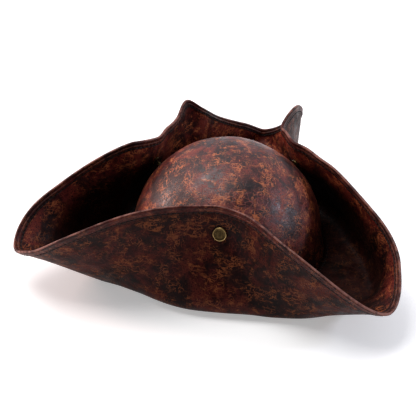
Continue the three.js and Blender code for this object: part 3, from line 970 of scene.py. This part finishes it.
# %% Leather material
def leather(name, tone=1.0, cloud=0.8, scuff=1.0, worn=0.0, painted_shade=None, groove=None, painted_shade_darkness=0.5,
            shift=0.0, satin=0.2):
    """Distressed leather. tone darkens the ground colour, cloud and scuff are how strong the dark
    clouds and the rust-coloured net are, and worn is how far the rim is rubbed pale. The painted
    shade is a pair of distances from the rim between which shade is painted into the fold, groove
    is how far from the rim a painted line of shade runs and the line's darkness how dark it is,
    shift moves the pattern so that two pieces differ, and satin is the strength of the gloss."""
    material, tree, output = new_material(name)
    place = add_node(tree, "ShaderNodeTexCoord").outputs["Object"]
    rim = add_node(tree, "ShaderNodeAttribute", attribute_name="from_rim").outputs["Fac"]
    mm = add_node(tree, "ShaderNodeMapping", {"Vector": place, "Location": (shift, 2 * shift, -shift),
                                              "Scale": WHOLE_MM}).outputs[0]
    bent = warped(tree, mm, 9, 5.0)
    rubbed = rust_net(tree, mm, bent, scuff)
    layers = [(patches(tree, mm, 9, 6, 0.68, 0.38, 0.64), COLOUR_BROWN), (rubbed, COLOUR_RUST),
              (patches(tree, mm, 34, 5, 0.64, 0.46, 0.58, top=cloud), COLOUR_CLOUD),
              (hairlines(tree, mm, bent, scuff), COLOUR_SCUFF)]
    # Painted shade: the leather darkens deep in the fold, between two distances from the rim.
    if painted_shade is not None:
        layers.append((painted_fold_shade(tree, mm, rim, *painted_shade), COLOUR_PAINTED_SHADE))
    colour = linear(COLOUR_DEEP)
    for mask, over in layers:
        colour = add_node(tree, "ShaderNodeMix", {0: mask, 6: colour, 7: linear(over)},
                          data_type="RGBA").outputs[2]
    colour = add_node(tree, "ShaderNodeHueSaturation", {"Value": tone, "Color": colour}).outputs[0]

    on_top = []
    # A painted line of shade: in the stitch groove on the binding, and as the shadow of the binding's
    # edge on the under ply.
    if groove is not None:
        on_top.append((stripe(tree, rim, groove, 0.5, 1.3, painted_shade_darkness), COLOUR_PAINTED_SHADE))
    if worn > 0:
        on_top.append((bare_edge(tree, mm, rim, worn), COLOUR_WORN))
    for mask, over in on_top:
        colour = add_node(tree, "ShaderNodeMix", {0: mask, 6: colour, 7: linear(over)},
                          data_type="RGBA").outputs[2]

    polish = patches(tree, mm, 12, 5, 0.65, 0.35, 0.65, floor=0.34, top=0.5)
    roughness = add_node(tree, "ShaderNodeMath", {0: rubbed, 1: 0.15, 2: polish},
                         operation="MULTIPLY_ADD").outputs[0]
    shader = add_node(tree, "ShaderNodeBsdfPrincipled", {"Base Color": colour, "Roughness": roughness,
                      "Normal": leather_bump(tree, mm, rubbed), "IOR": 1.46,
                      "Specular IOR Level": satin})
    tree.links.new(shader.outputs[0], output.inputs[0])
    return material


print("leather is ready")

# %% Four leathers
crown.data.materials.append(leather("distressed leather, crown", cloud=0.8, scuff=1.15, satin=0.6))
# The under ply's low tone paints shade: it is the same leather as the top ply, darkened for the shade
# that the outsides of the flaps lie in.
under_ply.data.materials.append(leather("distressed leather, under ply", tone=0.34, shift=70,
                                        groove=8.6, painted_shade_darkness=0.45, satin=0.08))
top_ply.data.materials.append(leather("distressed leather, top ply", tone=0.95, shift=130,
                                      painted_shade=(8, 42), satin=0.12))
binding.data.materials.append(leather("distressed leather, binding", tone=0.5, shift=190, cloud=0.6,
                                      scuff=0.6, worn=0.9, groove=STITCH_INSET, painted_shade_darkness=0.7, satin=0.14))
print("leathers:", len([m for m in bpy.data.materials if "leather" in m.name]))

# %% [markdown]
# ## Plain leather, cloth, felt and thread
# The sweatband is thin smooth leather, darker and glossier where foreheads touch it. The lining is
# a plain-woven black cloth: its threads are half a millimetre apart, drawn here at 1.2 mm so that the
# weave shows. Felt has no weave at all, only matted fibre. Waxed thread is dull and twisted.


# %% Sweatband leather
def plain_leather():
    """Smooth sweatband leather: fine pores on an even dark brown."""
    material, tree, output = new_material("smooth sweatband leather")
    place = add_node(tree, "ShaderNodeTexCoord").outputs["Object"]
    tone = add_node(tree, "ShaderNodeTexNoise", {"Vector": place, "Scale": 60, "Detail": 4})
    colour = add_node(tree, "ShaderNodeMix", {0: tone.outputs[0], 6: linear("#24150f"),
                                              7: linear("#4a2e22")}, data_type="RGBA")
    pores = add_node(tree, "ShaderNodeTexVoronoi", {"Vector": place, "Scale": 900})
    bump = add_node(tree, "ShaderNodeBump", {"Strength": 0.3, "Distance": 0.15 * MM,
                                             "Height": pores.outputs["Distance"]})
    shader = add_node(tree, "ShaderNodeBsdfPrincipled", {"Base Color": colour.outputs[2],
                      "Roughness": 0.42, "Normal": bump.outputs[0]})
    tree.links.new(shader.outputs[0], output.inputs[0])
    return material


sweatband.data.materials.append(plain_leather())
print(sweatband.data.materials[0].name)

# %% Lining cloth
WEAVE = 1.2 * MM                    # thread spacing as drawn


def woven_cloth():
    """Plain weave: two sets of threads, one wave each way, on Object coordinates."""
    material, tree, output = new_material("plain-woven lining cloth")
    place = add_node(tree, "ShaderNodeTexCoord").outputs["Object"]
    waves = [add_node(tree, "ShaderNodeTexWave", {"Vector": place,
                      "Scale": 2 * math.pi / (20 * WEAVE)},
                      bands_direction=axis).outputs["Fac"] for axis in ("X", "Y")]
    weave = add_node(tree, "ShaderNodeMath", {0: waves[0], 1: waves[1]}, operation="MULTIPLY")
    colour = add_node(tree, "ShaderNodeMix", {0: weave.outputs[0], 6: linear("#0f0e0f"),
                                              7: linear("#2c2a2b")}, data_type="RGBA")
    bump = add_node(tree, "ShaderNodeBump", {"Strength": 0.5, "Distance": 0.2 * MM,
                                             "Height": weave.outputs[0]})
    shader = add_node(tree, "ShaderNodeBsdfPrincipled", {"Base Color": colour.outputs[2],
                      "Roughness": 0.85, "Normal": bump.outputs[0], "Sheen Weight": 0.2})
    tree.links.new(shader.outputs[0], output.inputs[0])
    return material


lining.data.materials.append(woven_cloth())
print(lining.data.materials[0].name)


# %% Felt and thread
def fibrous(name, dark, light, size):
    """Felt or thread: short noisy fibres with no gloss."""
    material, tree, output = new_material(name)
    place = add_node(tree, "ShaderNodeTexCoord").outputs["Object"]
    fibre = add_node(tree, "ShaderNodeTexNoise", {"Vector": place, "Scale": 1 / (size * MM),
                                                  "Detail": 4})
    colour = add_node(tree, "ShaderNodeMix", {0: fibre.outputs[0], 6: linear(dark), 7: linear(light)},
                      data_type="RGBA")
    bump = add_node(tree, "ShaderNodeBump", {"Strength": 0.4, "Distance": 0.2 * MM,
                                             "Height": fibre.outputs[0]})
    shader = add_node(tree, "ShaderNodeBsdfPrincipled", {"Base Color": colour.outputs[2],
                      "Roughness": 0.9, "Normal": bump.outputs[0]})
    tree.links.new(shader.outputs[0], output.inputs[0])
    return material


waxed_thread = fibrous("waxed brown thread", "#080404", "#1d100c", 0.5)
for piece in (outer_thread, inner_thread, seam_thread, band_thread):
    piece.data.materials.append(waxed_thread)
stiffener.data.materials.append(fibrous("wool felt", "#17120f", "#37302b", 0.6))
print(stiffener.data.materials[0].name, "and", waxed_thread.name)

# %% [markdown]
# ## Aged brass
# The rivets are brass, plated to look old: a greenish-brown film lies in the dished middle, and the
# raised rim is rubbed bright. Metal takes all its colour from the reflection, so the film is a darker,
# rougher colour in the same metal shader.


# %% Brass
def aged_brass():
    """Brass with an olive-brown film, broken up by noise and rubbed off the raised edge of a cap."""
    material, tree, output = new_material("aged brass")
    place = add_node(tree, "ShaderNodeTexCoord").outputs["Object"]
    rubbed = add_node(tree, "ShaderNodeAttribute", attribute_name="rubbed").outputs["Fac"]
    film = add_node(tree, "ShaderNodeTexNoise", {"Vector": place, "Scale": 420, "Detail": 5,
                                                 "Roughness": 0.65})
    amount = add_node(tree, "ShaderNodeMapRange", {"Value": film.outputs[0], "From Min": 0.35,
                                                   "From Max": 0.7})
    stained = add_node(tree, "ShaderNodeMix", {0: amount.outputs[0], 6: linear("#33291a"),
                                               7: linear("#665434")}, data_type="RGBA")
    colour = add_node(tree, "ShaderNodeMix", {0: rubbed, 6: stained.outputs[2],
                                              7: linear("#c4a36c")}, data_type="RGBA")
    rough = add_node(tree, "ShaderNodeMapRange", {"Value": film.outputs[0], "From Min": 0.35,
                     "From Max": 0.7, "To Min": 0.5, "To Max": 0.3})
    shader = add_node(tree, "ShaderNodeBsdfPrincipled", {"Base Color": colour.outputs[2],
                      "Metallic": 1.0, "Roughness": rough.outputs[0]})
    tree.links.new(shader.outputs[0], output.inputs[0])
    return material


brass = aged_brass()
for piece in rivets:
    piece.data.materials.append(brass)
print("brass pieces:", len(rivets))
